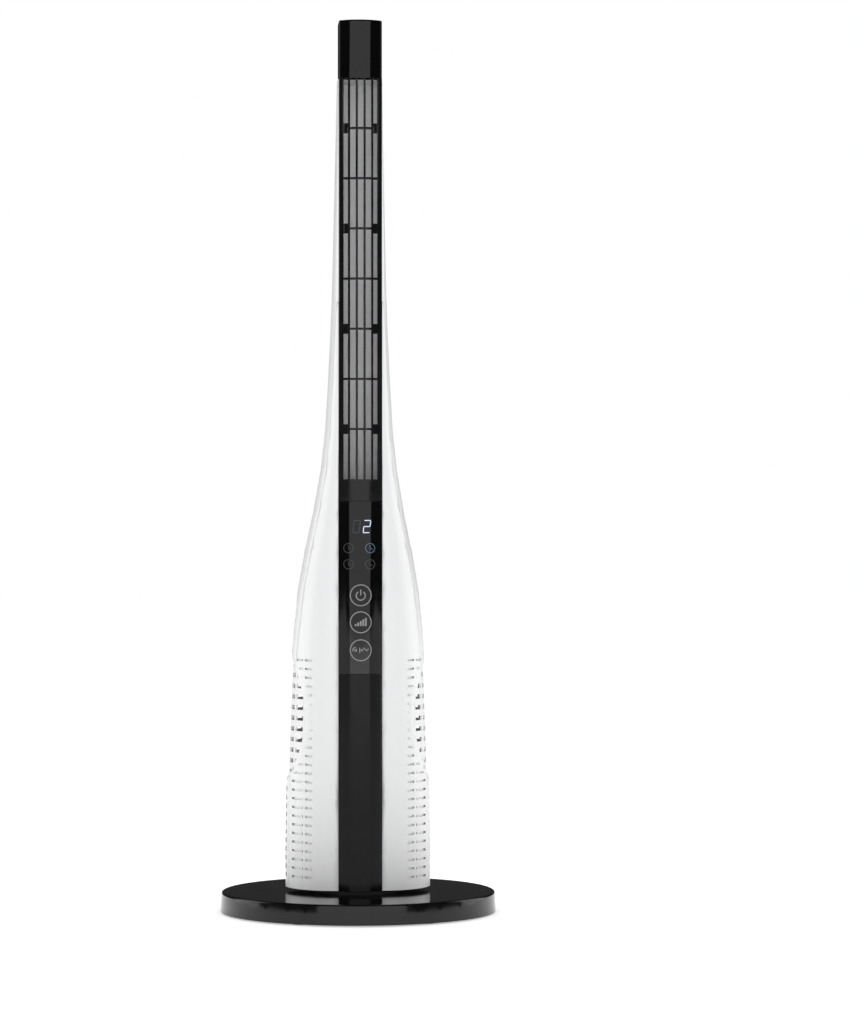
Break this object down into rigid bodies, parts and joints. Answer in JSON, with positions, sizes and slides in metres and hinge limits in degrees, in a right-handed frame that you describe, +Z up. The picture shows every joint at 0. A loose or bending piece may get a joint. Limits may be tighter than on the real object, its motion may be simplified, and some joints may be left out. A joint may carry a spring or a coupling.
{
  "type": "tower fan",
  "caption": "Slim tower fan with a flared white body, black front strip with slotted outlet and touch keys, side intakes and a round swing base.",
  "frame": {"origin": "centre of the round base on the floor, under the swing axis", "axes": "+Z up along the swing axis; the black strip and outlet face -Y; +X is to the right seen from the front"},
  "size_m": [0.31, 0.31, 0.998],
  "materials": {
    "white_plastic": "satin gloss",
    "gloss_black": "high gloss",
    "base_black": "gloss top, satin side",
    "dark_plastic": "fine matt",
    "grey_plastic": "matt",
    "foot_rubber": "matt",
    "ballast_steel": "rolled",
    "screw_steel": "zinc plated",
    "spring_steel": "oiled",
    "shaft_steel": "ground",
    "motor_steel": "satin",
    "lamination": "varnished",
    "magnet": "matt",
    "bronze": "oiled",
    "copper": "enamelled",
    "acetal": "smooth",
    "wheel_plastic": "matt",
    "clear_plastic": "frosted",
    "circuit_board": "solder mask",
    "capacitor_sleeve": "shrink sleeve"
  },
  "bodies": {
    "base": {"base_cover": "base_black", "base_plate": "dark_plastic", "rubber_feet": "foot_rubber", "ballast_ring": "ballast_steel", "ballast_screws": "screw_steel", "base_screws": "screw_steel", "cord_gland": "foot_rubber", "pivot_post": "dark_plastic", "post_screws": "screw_steel", "pivot_clip": "spring_steel", "swing_gear": "acetal", "thrust_ring": "acetal"},
    "tower": {"turntable": "dark_plastic", "turntable_screws": "screw_steel", "swing_motor": "motor_steel", "body_floor": "dark_plastic", "shell_screws": "screw_steel", "lower_trim": "gloss_black", "touch_panel": "gloss_black", "outlet_grille": "gloss_black", "top_cap": "gloss_black", "duct_liner": "grey_plastic", "plenum_duct": "grey_plastic", "scroll_left": "grey_plastic", "scroll_right": "grey_plastic", "motor_bracket": "dark_plastic", "bearing_bracket": "dark_plastic", "inlet_screws": "screw_steel", "motor_can": "motor_steel", "shaft_bushes": "bronze", "stator_core": "lamination", "stator_windings": "copper", "control_board": "circuit_board", "key_light_guides": "clear_plastic", "display_module": "dark_plastic", "indicator_lights": "clear_plastic", "ir_receiver": "dark_plastic", "power_board": "circuit_board", "power_transformer": "lamination", "power_capacitors": "capacitor_sleeve", "side_grille_left": "white_plastic", "side_grille_right": "white_plastic", "louvre_baffle_left": "white_plastic", "louvre_baffle_right": "white_plastic", "front_shell": "white_plastic", "rear_shell": "white_plastic"},
    "blower": {"impeller": "wheel_plastic", "impeller_screw": "screw_steel", "motor_shaft": "shaft_steel", "rotor_magnet": "magnet"},
    "swing_drive": {"drive_pinion": "acetal", "swing_motor_shaft": "shaft_steel"}
  },
  "joints": [
    {"name": "tower_swing", "type": "hinge", "parent": "base", "child": "tower", "pos_m": [0, 0, 0.0185], "axis": [0, 0, 1], "range_deg": [-40, 40]},
    {"name": "blower_spin", "type": "hinge", "parent": "tower", "child": "blower", "pos_m": [0, 0.006, 0.215], "axis": [1, 0, 0], "continuous": true},
    {"name": "drive_spin", "type": "hinge", "parent": "tower", "child": "swing_drive", "pos_m": [0, 0.036, 0.0105], "axis": [0, 0, 1], "range_deg": [-200, 200]}
  ],
  "couplings": [
    {"joint": "drive_spin", "follows": "tower_swing", "ratio": 5}
  ]
}
